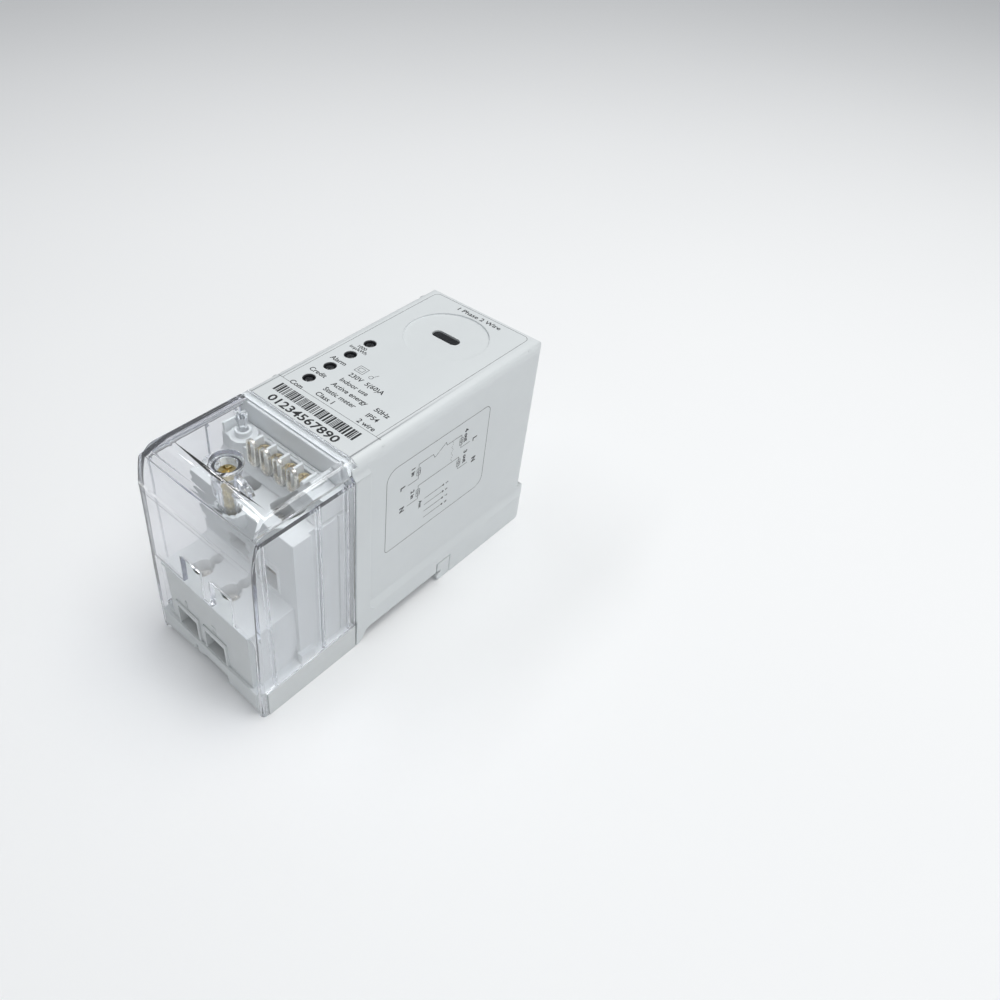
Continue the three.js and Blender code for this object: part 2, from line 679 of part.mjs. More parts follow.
// ---------- clear cover ----------
function coverSection(side, top, z0) {
  const half = SKIRT_HALF - side;
  const shoulder = PANEL_HALF - side;
  const r = EDGE_R;
  const crown = HEIGHT - top;
  const s = new THREE.Shape();
  s.moveTo(-half, z0);
  s.lineTo(half, z0);
  s.lineTo(half, BAND_Z - top / 4);
  s.lineTo(shoulder, BAND_TOP_Z - top / 4);
  s.absarc(shoulder - r, crown - r, r, 0, Math.PI / 2, false);
  s.absarc(-shoulder + r, crown - r, r, Math.PI / 2, Math.PI, false);
  s.lineTo(-shoulder, BAND_TOP_Z - top / 4);
  s.lineTo(-half, BAND_Z - top / 4);
  return s;
}

// Side view: a front wall that leans in and runs over into the top in one long curve.
function coverProfile(front, top, rear, z0) {
  const crown = HEIGHT - top;
  const shoulderZ = 63;
  const s = new THREE.Shape();
  s.moveTo(rear, z0);
  s.lineTo(rear, crown);
  s.lineTo(-52, crown);
  s.bezierCurveTo(-60.5, crown, FRONT_Y + 2.6 + front, 76.2 - top / 2, FRONT_Y + 2.2 + front, shoulderZ);
  s.lineTo(FRONT_Y + 1.3 + front, LOW_Z);
  s.lineTo(FRONT_Y + 0.05 + front, z0);
  return s;
}

function coverSolid(side, front, top, rear, z0) {
  const cornerR = Math.max(1.4 - side / 2, 0.4);
  const plan = roundedPlan(SKIRT_HALF - side, -rear, -(FRONT_Y + front), cornerR);
  return alongY(coverSection(side, top, z0), FRONT_Y, rear)
    .intersect(alongX(coverProfile(front, top, rear, z0), -WIDTH, WIDTH, 16))
    .intersect(alongZ(plan, z0, HEIGHT, 4).mirror([0, 1, 0]));
}

// The finned pin that holds the cover switch's plunger down.
function coverPin() {
  const tip = PLUNGER_Z + 0.4;
  const root = HEIGHT - COVER.top + 0.6;
  const { x, y } = SWITCH;
  const profile = [[0, tip], [1.2, tip], [1.2, tip + 1.8], [1.5, tip + 3.2], [1.6, root], [0, root]];
  const fin = outline([
    [1, tip + 1.6],
    [1.9, tip + 3],
    [2.4, root],
    [-2.4, root],
    [-1.9, tip + 3],
    [-1, tip + 1.6],
  ]);
  const fins = [0, 90].map((turn) => alongY(fin, -0.4, 0.4).rotate([0, 0, turn]).translate([x, y, 0]));
  return join(turned(x, y, profile, 14), ...fins);
}

function coverRib(side, y) {
  const x = side * (SKIRT_HALF - COVER.side - 0.5);
  return block(x - 0.9, x + 0.9, y - 0.6, y + 0.6, COVER.bottomZ, 74);
}

function terminalCover() {
  const { gateHalf, legZ, legRearY, bottomZ, innerFrontY } = COVER;
  const outer = coverSolid(0, 0, 0, LIP_Y, legZ);
  const underLip = block(-WIDTH, WIDTH, COVER.rear, 0, 0, LIP_Z);
  const inner = coverSolid(COVER.side, COVER.side, COVER.top, COVER.rear + 1, legZ - 1);
  const frontGate = block(-gateHalf, gateHalf, FRONT_Y - 1, innerFrontY, 0, COVER.frontZ);
  const behindLegs = block(-WIDTH, WIDTH, legRearY, 0, 0, bottomZ);
  const notches = MAIN.slice(2).map((t) => block(t.x - 4.8, t.x + 4.8, FRONT_Y - 1, innerFrontY, 30, 47));
  const shell = cut(outer, underLip, inner, frontGate, behindLegs, ...notches);
  const ribs = SIDES.flatMap((side) => COVER.ribY.map((y) => coverRib(side, y)));
  return cut(join(shell, ...ribs, coverPin()), post(SEAL.x, SEAL.y, COVER.holeR, 70, 90, 24));
}

// ---------- sealing screw ----------
// One wing of the clear head: an upright frame with a slanting strut.
function sealWing(side) {
  const frame = outline([
    [0, 70],
    [3.6, 70],
    [10.6, 72.8],
    [11.2, 74.2],
    [9.6, 76.6],
    [7.6, 77.7],
    [3, 78.4],
    [0, 78.4],
  ]);
  const windows = [
    outline([[5.2, 73.4], [7.5, 76.3], [5.2, 77]]),
    outline([[5.8, 72.4], [9.9, 74.2], [8.4, 75.9]]),
  ];
  const wing = cut(alongY(frame, -0.9, 0.9), ...windows.map((w) => alongY(w, -2, 2)));
  const placed = side > 0 ? wing : wing.mirror([1, 0, 0]);
  return placed.translate([SEAL.x, SEAL.y, 0]);
}

function sealHead() {
  const { x, y } = SEAL;
  const outside = [[0, 59], [3.5, 59], [3.5, 68], [4.6, 70], [4.6, 79.3], [4.1, 79.8], [0, 79.8]];
  const inside = [[0, 58], [2, 58], [2, 75.4], [3.3, 75.4], [3.3, 81], [0, 81]];
  return cut(join(turned(x, y, outside, 28), sealWing(1), sealWing(-1)), turned(x, y, inside, 24));
}

function sealScrew() {
  const profile = [
    [0, 57],
    [1.2, 57.4],
    [1.6, 58.4],
    [1.6, 75.7],
    [2.9, 75.7],
    [2.9, 77.4],
    [2.4, 77.9],
    [0, 77.9],
  ];
  return cut(turned(SEAL.x, SEAL.y, profile, 20), ...crossRecess(SEAL.x, SEAL.y, 76.8, 1.9, 0.8));
}

// ---------- rail clip ----------
function dinClip() {
  const s = outline([
    [FRONT_Y + 2.2, 0.8],
    [FRONT_Y + 5, 0.5],
    [-16.4, 0.5],
    [-15.2, 1.6],
    [-15.2, 2.6],
    [-17, 3.2],
    [FRONT_Y + 2.2, 3.2],
  ]);
  const plate = alongX(s, -CLIP.half, CLIP.half);
  const grip = block(-3.5, 3.5, FRONT_Y + 4, FRONT_Y + 6.5, 0, 2);
  const windows = SIDES.map((side) => {
    const x = side * 4;
    return block(x - 1, x + 1, -52, -32, 0, 5);
  });
  return cut(plate, grip, ...windows);
}

// ---------- label face ----------
function ledLens(k) {
  const r = LED_HOLE_R - 0.35;
  const flange = FACE_Z - WALL - 0.4;
  const top = FACE_Z - 0.5;
  const profile = [
    [0, flange - 8.2],
    [r, flange - 8.2],
    [r, flange - 2.1],
    [3, flange - 2.1],
    [3, flange],
    [r, flange],
    [r, top - 0.5],
    [r - 0.65, top - 0.1],
    [0, top],
  ];
  return turned(LED_X, LED_Y + k * LED_PITCH, profile, 16);
}

function opticalWindow() {
  const underFace = FACE_Z - WALL - 0.4;
  return join(
    alongZ(roundSlot(0, PORT_Y, PORT_SLOT.length - 0.7, PORT_SLOT.width - 0.7), 76.4, 80, 5),
    alongZ(roundSlot(0, PORT_Y, PORT_SLOT.length + 2, PORT_SLOT.width + 2), 76.4, underFace, 5),
  );
}

function magnetPlate() {
  const profile = [[8.2, 77], [13.8, 77], [13.8, 78.6], [8.2, 78.6], [8.2, 77]];
  return turned(0, PORT_Y, profile, 32);
}

// ---------- inside ----------
const POWER_BOARD_Z = 9.1;
const MAIN_BOARD_Z = 68;
const BOARD_THICK = 1.6;
const PARTS_Z = POWER_BOARD_Z + BOARD_THICK + GAP;

// A circuit board, cut away around the case's screw posts.
function board(z) {
  const posts = CASE_SCREWS.map(([x, y]) => post(x, y, POST_R + 0.6, z - 1, z + 3, 12));
  return cut(block(-22, 22, -18, 54.5, z, z + BOARD_THICK), ...posts);
}

const RELAY = { x0: -21, x1: 3, y0: -8, y1: 28, z0: PARTS_Z, z1: 36 };

function relayCase() {
  const { x0, x1, y0, y1, z0, z1 } = RELAY;
  const t = 1.2;
  const hollow = block(x0 + t, x1 - t, y0 + t, y1 - t, z0 + t, z1 + 1);
  return cut(block(x0, x1, y0, y1, z0, z1), hollow);
}

function relayCoil() {
  const profile = [[0, 8], [6.4, 8], [6.4, 9.2], [5.4, 9.2], [5.4, 24.8], [6.4, 24.8], [6.4, 26], [0, 26]];
  return turnedAlongY(-12.4, 21, profile, 18);
}

const ROTOR = { x: -3.4, y: 14 };

function relayRotor() {
  const hub = post(ROTOR.x, ROTOR.y, 2.6, 13, 29, 14);
  return join(hub, block(ROTOR.x - 1.4, ROTOR.x + 1.4, ROTOR.y - 7, ROTOR.y + 7, 15, 27));
}

function relayPusher() {
  const arm = block(-15, 0.2, 4.4, 6.2, 29.8, 32.2);
  return join(arm, block(-15, -13.6, 0.6, 6.2, 29.8, 32.2));
}

function relayContactArm() {
  const blade = block(-17.2, -16.2, -5.8, 6.4, 14, 32.2);
  return join(blade, block(-16.4, -15.2, 2.6, 5, 20, 24));
}

function relayFixedContact() {
  return join(block(-19.2, -18.4, -6, 6, 14, 28), block(-18.6, -17.5, 2.6, 5, 20, 24));
}

function currentTransformer(t) {
  const z = busbarZ(t) + BUSBAR.thick / 2;
  return turnedAlongY(t.x, z, [[5, -19], [9.4, -19], [9.4, -12], [5, -12], [5, -19]], 24);
}

function upright(x, y, r, z0, z1) {
  return turned(x, y, [[0, z0], [r, z0], [r, z1 - 0.6], [r - 0.6, z1], [0, z1]], 20);
}

function boardLink() {
  return block(-20.5, -17.5, 42, 53, PARTS_Z, MAIN_BOARD_Z - GAP);
}

// ---------- assembly ----------
add("case_shell", caseShell(), casePlastic);
add("rear_plate", rearPlate(), casePlastic);
CASE_SCREWS.forEach(([x, y, z], k) => add(`case_screw_${k + 1}`, caseScrew(x, y, z), steel));
add("terminal_block", terminalBlock(), blockPlastic);
add("block_gasket", gasket(), rubber);
for (const t of MAIN) {
  add(`main_cage_${t.n}`, mainCage(t), nickel);
  add(`main_screw_${t.n}`, mainScrew(t), nickel);
  add(`busbar_${t.n}`, busbar(t), copper);
}
add("aux_block", auxBlock(), blockPlastic);
AUX_X.forEach((x, k) => {
  add(`aux_clamp_${k + 1}`, auxClamp(x), nickel);
  add(`aux_screw_${k + 1}`, auxScrew(x), brass);
});
add("cover_switch", switchBody(), blackPlastic);
add("cover_switch_plunger", switchPlunger(), greyPlastic);
add("terminal_cover", terminalCover(), clearPlastic);
add("seal_screw_head", sealHead(), clearPlastic);
add("seal_screw", sealScrew(), brass);
add("din_clip", dinClip(), greyPlastic);
count(LED_COUNT).forEach((k) => add(`led_lens_${k + 1}`, ledLens(k), darkLens));
add("optical_window", opticalWindow(), darkLens);
add("magnet_plate", magnetPlate(), steel);
add("main_board", board(MAIN_BOARD_Z), boardGreen);
add("power_board", board(POWER_BOARD_Z), boardGreen);
add("board_link", boardLink(), blackPlastic);
add("relay_case", relayCase(), blackPlastic);
add("relay_coil", relayCoil(), windingCopper);
add("relay_rotor", relayRotor(), greyPlastic);
add("relay_pusher", relayPusher(), greyPlastic);
add("relay_contact_arm", relayContactArm(), copper);
add("relay_fixed_contact", relayFixedContact(), copper);
add("current_transformer", currentTransformer(MAIN[1]), bluePlastic);
add("supply_transformer", block(7, 21, 2, 24, PARTS_Z, 30), windingCopper);
add("filter_capacitor", block(7, 20, 28, 36, PARTS_Z, 26), bluePlastic);
add("bulk_capacitor", upright(-10.5, 40, 6.5, PARTS_Z, 34), blackPlastic);
add("backup_battery", upright(8, 30, 9.5, 60, 67.7), steel);
add("modem_board", block(-3, 20, 44, 45.6, PARTS_Z, 50), boardBlue);

export default meter;
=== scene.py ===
import json
import math
import random

import bmesh
import bpy
from mathutils import Matrix, Vector
from mathutils.bvhtree import BVHTree


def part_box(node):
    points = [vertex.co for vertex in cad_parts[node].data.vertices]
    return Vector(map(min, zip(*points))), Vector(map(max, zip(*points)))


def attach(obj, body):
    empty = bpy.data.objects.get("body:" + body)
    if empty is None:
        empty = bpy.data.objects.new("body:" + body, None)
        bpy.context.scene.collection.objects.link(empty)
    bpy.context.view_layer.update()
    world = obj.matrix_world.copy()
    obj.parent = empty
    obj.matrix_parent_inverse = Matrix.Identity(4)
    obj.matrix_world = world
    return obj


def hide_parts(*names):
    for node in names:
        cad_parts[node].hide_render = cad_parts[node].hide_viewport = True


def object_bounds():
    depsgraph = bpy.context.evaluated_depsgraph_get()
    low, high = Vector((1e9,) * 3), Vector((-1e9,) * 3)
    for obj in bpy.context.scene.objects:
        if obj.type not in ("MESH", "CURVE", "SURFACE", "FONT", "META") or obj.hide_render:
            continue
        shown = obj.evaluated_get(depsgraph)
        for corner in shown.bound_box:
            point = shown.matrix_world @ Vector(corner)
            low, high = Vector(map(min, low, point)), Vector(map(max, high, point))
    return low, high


# Looks of the prepayment meter: fine edges, real materials, the clear cover and the printing.
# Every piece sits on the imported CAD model, which gives all places and sizes. Units are metres.
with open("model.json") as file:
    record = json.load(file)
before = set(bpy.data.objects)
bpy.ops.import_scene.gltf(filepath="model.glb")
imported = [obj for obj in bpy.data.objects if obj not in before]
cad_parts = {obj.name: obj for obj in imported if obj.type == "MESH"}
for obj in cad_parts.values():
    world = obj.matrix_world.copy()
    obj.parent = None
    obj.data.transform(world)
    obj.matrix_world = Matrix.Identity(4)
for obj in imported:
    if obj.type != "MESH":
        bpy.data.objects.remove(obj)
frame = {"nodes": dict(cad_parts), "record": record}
CAD_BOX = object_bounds()

MM = 0.001
SEED = 41


# ---------- camera, light and floor ----------
CAMERA_PLACE = (0.15574, -0.15226, 0.24254)
CAMERA_AZIMUTH = 44.43
CAMERA_ELEVATION = 42.30
CAMERA_ROLL = 0.74
CAMERA_LENS = 31.14
CAMERA_SHIFT = (0.1317, -0.0234)


def link(obj):
    bpy.context.scene.collection.objects.link(obj)
    return obj


def aim(azimuth, elevation, roll=0.0):
    """The turn of a camera or lamp that looks along azimuth, down by elevation, in degrees."""
    a = math.radians(azimuth)
    e = math.radians(elevation)
    back = Vector((math.sin(a) * math.cos(e), -math.cos(a) * math.cos(e), math.sin(e)))
    turn = (-back).to_track_quat("-Z", "Y").to_matrix().to_4x4()
    return turn @ Matrix.Rotation(math.radians(roll), 4, "Z")


def make_camera():
    data = bpy.data.cameras.new("photo_view")
    data.sensor_width = 36
    data.lens = CAMERA_LENS
    data.shift_x, data.shift_y = CAMERA_SHIFT
    data.clip_start = 0.01
    data.clip_end = 10
    camera = link(bpy.data.objects.new("photo_view", data))
    turn = aim(CAMERA_AZIMUTH, CAMERA_ELEVATION, CAMERA_ROLL)
    camera.matrix_world = Matrix.Translation(CAMERA_PLACE) @ turn
    bpy.context.scene.camera = camera


def soft_lamp(name, place, size, power, colour):
    data = bpy.data.lights.new(name, "AREA")
    data.shape = "RECTANGLE"
    data.size, data.size_y = size
    data.energy = power
    data.color = colour
    lamp = link(bpy.data.objects.new(name, data))
    middle = Vector((0, 0, 0.04))
    lamp.location = place
    lamp.rotation_mode = "QUATERNION"
    lamp.rotation_quaternion = (middle - lamp.location).to_track_quat("-Z", "Y")


def light_the_studio():
    world = bpy.data.worlds.new("studio")
    bpy.context.scene.world = world
    world.use_nodes = True
    background = world.node_tree.nodes["Background"]
    background.inputs["Color"].default_value = (0.93, 0.96, 1.0, 1)
    background.inputs["Strength"].default_value = 0.34
    soft_lamp("key", (0.18, 0.28, 0.88), (0.7, 0.6), 5.2, (1.0, 1.0, 0.985))
    soft_lamp("side", (0.74, -0.35, 0.45), (0.3, 0.4), 0.9, (0.98, 0.99, 1.0))
    soft_lamp("front_strip", (-0.42, -0.16, 0.75), (0.6, 0.05), 1.0, (1.0, 1.0, 1.0))
    bpy.context.scene.view_settings.view_transform = "Standard"


# ---------- materials ----------
class Finish:
    """A node material: one Principled shader and the procedural patterns that feed it."""

    def __init__(self, name, roughness=0.5, metallic=0.0, **sockets):
        self.material = bpy.data.materials.new(name)
        self.material.use_nodes = True
        self.tree = self.material.node_tree
        self.tree.nodes.clear()
        self.shader = self.node("ShaderNodeBsdfPrincipled")
        self.shader.inputs["Roughness"].default_value = roughness
        self.shader.inputs["Metallic"].default_value = metallic
        for socket, value in sockets.items():
            self.shader.inputs[socket.replace("_", " ")].default_value = value
        self.output = self.node("ShaderNodeOutputMaterial")
        self.join(self.shader.outputs["BSDF"], self.output.inputs["Surface"])
        self.place = self.node("ShaderNodeTexCoord").outputs["Object"]

    def node(self, kind, **settings):
        made = self.tree.nodes.new(kind)
        for key, value in settings.items():
            setattr(made, key, value)
        return made

    def join(self, source, target):
        self.tree.links.new(source, target)

    def stretched(self, scale):
        mapping = self.node("ShaderNodeMapping")
        mapping.inputs["Scale"].default_value = scale
        self.join(self.place, mapping.inputs["Vector"])
        return mapping.outputs["Vector"]

    def noise(self, scale, detail=2.0, place=None):
        made = self.node("ShaderNodeTexNoise")
        made.inputs["Scale"].default_value = scale
        made.inputs["Detail"].default_value = detail
        self.join(place or self.place, made.inputs["Vector"])
        return made.outputs["Fac"]

    def spread(self, value, low, high, start=0.3, end=0.7):
        made = self.node("ShaderNodeMapRange")
        made.inputs["From Min"].default_value = start
        made.inputs["From Max"].default_value = end
        made.inputs["To Min"].default_value = low
        made.inputs["To Max"].default_value = high
        self.join(value, made.inputs["Value"])
        return made.outputs["Result"]

    def colours(self, value, *stops):
        node = self.node("ShaderNodeValToRGB")
        ramp = node.color_ramp
        while len(ramp.elements) < len(stops):
            ramp.elements.new(0.5)
        for element, (at, colour) in zip(ramp.elements, stops):
            element.position = at
            element.color = (*colour, 1)
        self.join(value, node.inputs["Fac"])
        self.join(node.outputs["Color"], self.shader.inputs["Base Color"])
        return self

    def rough(self, value, low, high):
        self.join(self.spread(value, low, high), self.shader.inputs["Roughness"])
        return self

    def bumps(self, value, strength, depth):
        bump = self.node("ShaderNodeBump")
        bump.inputs["Strength"].default_value = strength
        bump.inputs["Distance"].default_value = depth
        self.join(value, bump.inputs["Height"])
        self.join(bump.outputs["Normal"], self.shader.inputs["Normal"])
        return self


def shade(colour, share):
    return tuple(min(1.0, c * share) for c in colour)


def moulded(name, colour, rough=(0.36, 0.5), grain=1900, depth=0.012 * MM, variation=0.03):
    """Injection-moulded plastic: a fine eroded grain, faint flow marks and uneven gloss."""
    finish = Finish(name, IOR=1.53)
    flow = finish.noise(28, 3, finish.stretched((1.0, 0.35, 1.0)))
    stops = ((0.3, shade(colour, 1 - variation)), (0.5, colour), (0.72, shade(colour, 1 + variation)))
    finish.colours(flow, *stops)
    finish.rough(finish.noise(260, 3), *rough)
    return finish.bumps(finish.noise(grain, 2), 0.35, depth).material


def plated(name, colour, rough=(0.16, 0.34), scratch=(1.0, 14.0, 1.0), dark=0.72):
    """Plated or drawn metal with fine scratches along one direction and tarnish in patches."""
    finish = Finish(name, metallic=1.0)
    tarnish = finish.noise(420, 4)
    finish.colours(tarnish, (0.35, shade(colour, dark)), (0.55, colour), (0.8, shade(colour, 1.12)))
    streaks = finish.noise(900, 3, finish.stretched(scratch))
    finish.rough(streaks, *rough)
    return finish.bumps(streaks, 0.25, 0.01 * MM).material


TRAPPED_BOUNCES = 5  # light that has turned more often than this passes straight through


def clear(name, tint, absorb, density, rough=(0.015, 0.05)):
    """Clear polycarbonate: it bends light, tints along its edges and lets lamps through.

    Light that has bounced about inside for long goes straight on, so no edge turns black.
    """
    finish = Finish(name, IOR=1.3, Transmission_Weight=0.96, Coat_Weight=1.0, Coat_Roughness=0.02)
    handling = finish.noise(70, 4)
    finish.colours(handling, (0.3, tint), (0.7, shade(tint, 1.02)))
    finish.rough(handling, *rough)
    finish.bumps(finish.noise(45, 1), 0.05, 0.05 * MM)
    pass_light = finish.node("ShaderNodeBsdfTransparent")
    pass_light.inputs["Color"].default_value = (0.95, 0.96, 0.96, 1)
    path = finish.node("ShaderNodeLightPath")
    trapped = finish.node("ShaderNodeMath", operation="GREATER_THAN")
    trapped.inputs[1].default_value = TRAPPED_BOUNCES
    finish.join(path.outputs["Ray Depth"], trapped.inputs[0])
    straight = finish.node("ShaderNodeMath", operation="MAXIMUM")
    finish.join(path.outputs["Is Shadow Ray"], straight.inputs[0])
    finish.join(trapped.outputs["Value"], straight.inputs[1])
    either = finish.node("ShaderNodeMixShader")
    finish.join(straight.outputs["Value"], either.inputs["Fac"])
    finish.join(finish.shader.outputs["BSDF"], either.inputs[1])
    finish.join(pass_light.outputs["BSDF"], either.inputs[2])
    finish.join(either.outputs["Shader"], finish.output.inputs["Surface"])
    depth = finish.node("ShaderNodeVolumeAbsorption")
    depth.inputs["Color"].default_value = (*absorb, 1)
    depth.inputs["Density"].default_value = density
    finish.join(depth.outputs["Volume"], finish.output.inputs["Volume"])
    return finish.material


def smoked(name):
    """A smoked lens: near black, glossy, with a trace of dust."""
    finish = Finish(name, IOR=1.5)
    dust = finish.noise(900, 4)
    finish.colours(dust, (0.45, (0.006, 0.007, 0.009)), (0.8, (0.03, 0.032, 0.036)))
    return finish.rough(dust, 0.12, 0.35).material


def board_mask(name, colour, track):
    """Solder mask over copper: mask colour with lighter tracks in a square pattern."""
    finish = Finish(name, IOR=1.5)
    brick = finish.node("ShaderNodeTexBrick", offset=0.5)
    brick.inputs["Scale"].default_value = 180
    brick.inputs["Mortar Size"].default_value = 0.03
    brick.inputs["Color1"].default_value = (*colour, 1)
    brick.inputs["Color2"].default_value = (*shade(colour, 1.25), 1)
    brick.inputs["Mortar"].default_value = (*track, 1)
    finish.join(finish.place, brick.inputs["Vector"])
    finish.join(brick.outputs["Color"], finish.shader.inputs["Base Color"])
    return finish.rough(finish.noise(300, 2), 0.25, 0.4).material


def wound(name, colour):
    """Enamelled wire laid in turns."""
    finish = Finish(name, metallic=0.4)
    wave = finish.node("ShaderNodeTexWave", bands_direction="Y")
    wave.inputs["Scale"].default_value = 900
    wave.inputs["Distortion"].default_value = 0.4
    finish.join(finish.place, wave.inputs["Vector"])
    finish.colours(wave.outputs["Fac"], (0.2, shade(colour, 0.5)), (0.8, colour))
    finish.rough(wave.outputs["Fac"], 0.3, 0.5)
    return finish.bumps(wave.outputs["Fac"], 0.6, 0.05 * MM).material


def printed(name, colour):
    """Pad-printing ink: slightly uneven cover, so the plastic greys it here and there."""
    finish = Finish(name)
    wear = finish.noise(2600, 3)
    finish.colours(wear, (0.35, colour), (0.62, shade(colour, 1.3)), (0.85, shade(colour, 2.2)))
    return finish.rough(wear, 0.45, 0.65).material


CASE_GREY = (0.685, 0.715, 0.725)
BLOCK_GREY = (0.635, 0.66, 0.665)
FINISHES = {
    "case_plastic": moulded("case_plastic", CASE_GREY),
    "block_plastic": moulded("block_plastic", BLOCK_GREY, rough=(0.42, 0.56), grain=2400),
    "clear_plastic": clear("clear_plastic", (0.985, 0.99, 0.99), (0.56, 0.60, 0.80), 40.0),
    "brass": plated("brass", (0.60, 0.49, 0.25), rough=(0.2, 0.4), dark=0.5),
    "nickel": plated("nickel", (0.70, 0.67, 0.60), rough=(0.14, 0.32)),
    "steel": plated("steel", (0.56, 0.57, 0.58), rough=(0.25, 0.42)),
    "copper": plated("copper", (0.74, 0.42, 0.27), rough=(0.25, 0.45)),
    "black_plastic": moulded("black_plastic", (0.022, 0.023, 0.026), variation=0.2),
    "grey_plastic": moulded("grey_plastic", (0.46, 0.48, 0.49)),
    "dark_lens": smoked("dark_lens"),
    "circuit_board": board_mask("circuit_board", (0.02, 0.15, 0.06), (0.10, 0.34, 0.14)),
    "winding": wound("winding", (0.5, 0.2, 0.07)),
    "blue_plastic": moulded("blue_plastic", (0.03, 0.09, 0.34), rough=(0.2, 0.3), variation=0.1),
    "rubber": moulded("rubber", (0.03, 0.031, 0.033), rough=(0.7, 0.85), grain=900, variation=0.15),
}
INK = printed("ink", (0.013, 0.014, 0.016))
FINE_INK = printed("fine_ink", (0.035, 0.037, 0.040))
SLOT_OF = {row["node"]: row["material_slot"] for row in frame["record"]["subparts"]}
BODY_OF = {node: body for body, nodes in frame["record"]["behaviour"]["bodies"].items() for node in nodes}


# ---------- pieces made from the CAD solids ----------
WELD = 0.002 * MM
SLIVER = 0.02 * MM
FLAT = math.radians(0.6)
SHARP = math.radians(34)
ROOM_SHARE = 0.42
ROUNDING_TRIES = 6
ROUNDING_STEPS = 2
# Shares of the rounding's width: how far off the surface a corner may stray, how near to it a
# triangle counts as lying on it, and how far around a fold the edges stay sharp.
STRAY_SHARE = 0.5
ON_SURFACE_SHARE = 0.4
KEEP_SHARP_SHARE = 1.5
# Cosines: a face turned against its surface, and an edge that runs nearly along another.
AGAINST = -0.2
NEARLY_ALONG = 0.8


def whole_faces(node):
    """A copy of a CAD node's mesh with its facets joined into whole faces."""
    bm = bmesh.new()
    bm.from_mesh(frame["nodes"][node].data)
    bmesh.ops.remove_doubles(bm, verts=bm.verts, dist=WELD)
    bmesh.ops.dissolve_limit(bm, angle_limit=FLAT, verts=bm.verts, edges=bm.edges)
    bmesh.ops.dissolve_degenerate(bm, dist=SLIVER, edges=bm.edges)
    return bm


def breadth(face):
    """How broad a face is, taken as a strip."""
    return 2 * face.calc_area() / face.calc_perimeter()


def room_beside(edge):
    """How far the faces beside an edge run back before something else begins."""
    along = (edge.verts[1].co - edge.verts[0].co).normalized()
    room = min(breadth(face) for face in edge.link_faces)
    for vert in edge.verts:
        for other in vert.link_edges:
            reach = other.other_vert(vert).co - vert.co
            if other == edge or reach.length < SLIVER:
                continue
            lean = abs(reach.normalized().dot(along))
            if lean < NEARLY_ALONG:
                room = min(room, reach.length * math.sqrt(1 - lean * lean))
    return room * ROOM_SHARE


def sharp_edges(bm, width):
    """Weighs each sharp edge by how much of width its faces leave room for."""
    weight = bm.edges.layers.float.new("bevel_weight_edge")
    for edge in bm.edges:
        if len(edge.link_faces) == 2 and edge.calc_face_angle(0) > SHARP:
            edge[weight] = min(1.0, room_beside(edge) / width)
    return weight


def bevelled(bm, name, width):
    """The mesh that a weighted edge rounding makes of bm."""
    mesh = bpy.data.meshes.new(name + "_whole")
    bm.to_mesh(mesh)
    holder = link(bpy.data.objects.new(name + "_whole", mesh))
    edge_round = holder.modifiers.new("edge_round", "BEVEL")
    edge_round.width = width
    edge_round.segments = ROUNDING_STEPS
    edge_round.limit_method = "WEIGHT"
    edge_round.use_clamp_overlap = False
    edge_round.loop_slide = False
    fine = bpy.data.meshes.new_from_object(holder.evaluated_get(bpy.context.evaluated_depsgraph_get()))
    bpy.data.objects.remove(holder)
    bpy.data.meshes.remove(mesh)
    return fine


def snap_back(mesh, surface, reach, low, high):
    """Vertices that left the CAD surface by more than reach go back onto it, inside its box."""
    for vert in mesh.vertices:
        place, _, _, distance = surface.find_nearest(vert.co)
        if distance > reach:
            vert.co = place
        vert.co = [min(max(c, least), most) for c, least, most in zip(vert.co, low, high)]


def folded_corners(mesh, surface, reach):
    """Corners of the triangles that face against the CAD surface they lie on."""
    mesh.calc_loop_triangles()
    corners = []
    for triangle in mesh.loop_triangles:
        spots = [mesh.vertices[k].co for k in triangle.vertices]
        _, facing, _, distance = surface.find_nearest(sum(spots, Vector()) / 3)
        folded = triangle.normal.dot(facing) < AGAINST
        if folded and distance < reach and triangle.area > SLIVER * SLIVER:
            corners += [spot.copy() for spot in spots]
    return corners


def keep_sharp_near(bm, weight, corners, reach):
    """Takes the rounding off every edge that passes within reach of a corner."""
    for edge in bm.edges:
        a, b = (vert.co for vert in edge.verts)
        if edge[weight] and any(distance_to_edge(spot, a, b) < reach for spot in corners):
            edge[weight] = 0.0


def distance_to_edge(spot, a, b):
    """How far a spot is from the edge that runs from a to b."""
    share = (spot - a).dot(b - a) / max((b - a).length_squared, 1e-18)
    return (spot - a.lerp(b, min(1.0, max(0.0, share)))).length


def rounded_edges(node, width):
    """The node's mesh with its sharp edges rounded, but none where rounding would fold a face."""
    bm = whole_faces(node)
    surface = BVHTree.FromBMesh(bm)
    weight = sharp_edges(bm, width)
    for _ in range(ROUNDING_TRIES):
        fine = bevelled(bm, node, width)
        snap_back(fine, surface, STRAY_SHARE * width, *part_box(node))
        corners = folded_corners(fine, surface, ON_SURFACE_SHARE * width)
        if not corners:
            break
        keep_sharp_near(bm, weight, corners, KEEP_SHARP_SHARE * width)
    bm.free()
    fine.name = node + "_fine"
    return fine


def dress(piece, body, material, nodes=()):
    """Gives a piece its finish, its body and the CAD nodes it stands for."""
    piece.data.materials.clear()
    piece.data.materials.append(material)
    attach(piece, body)
    if nodes:
        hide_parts(*nodes)
    return piece


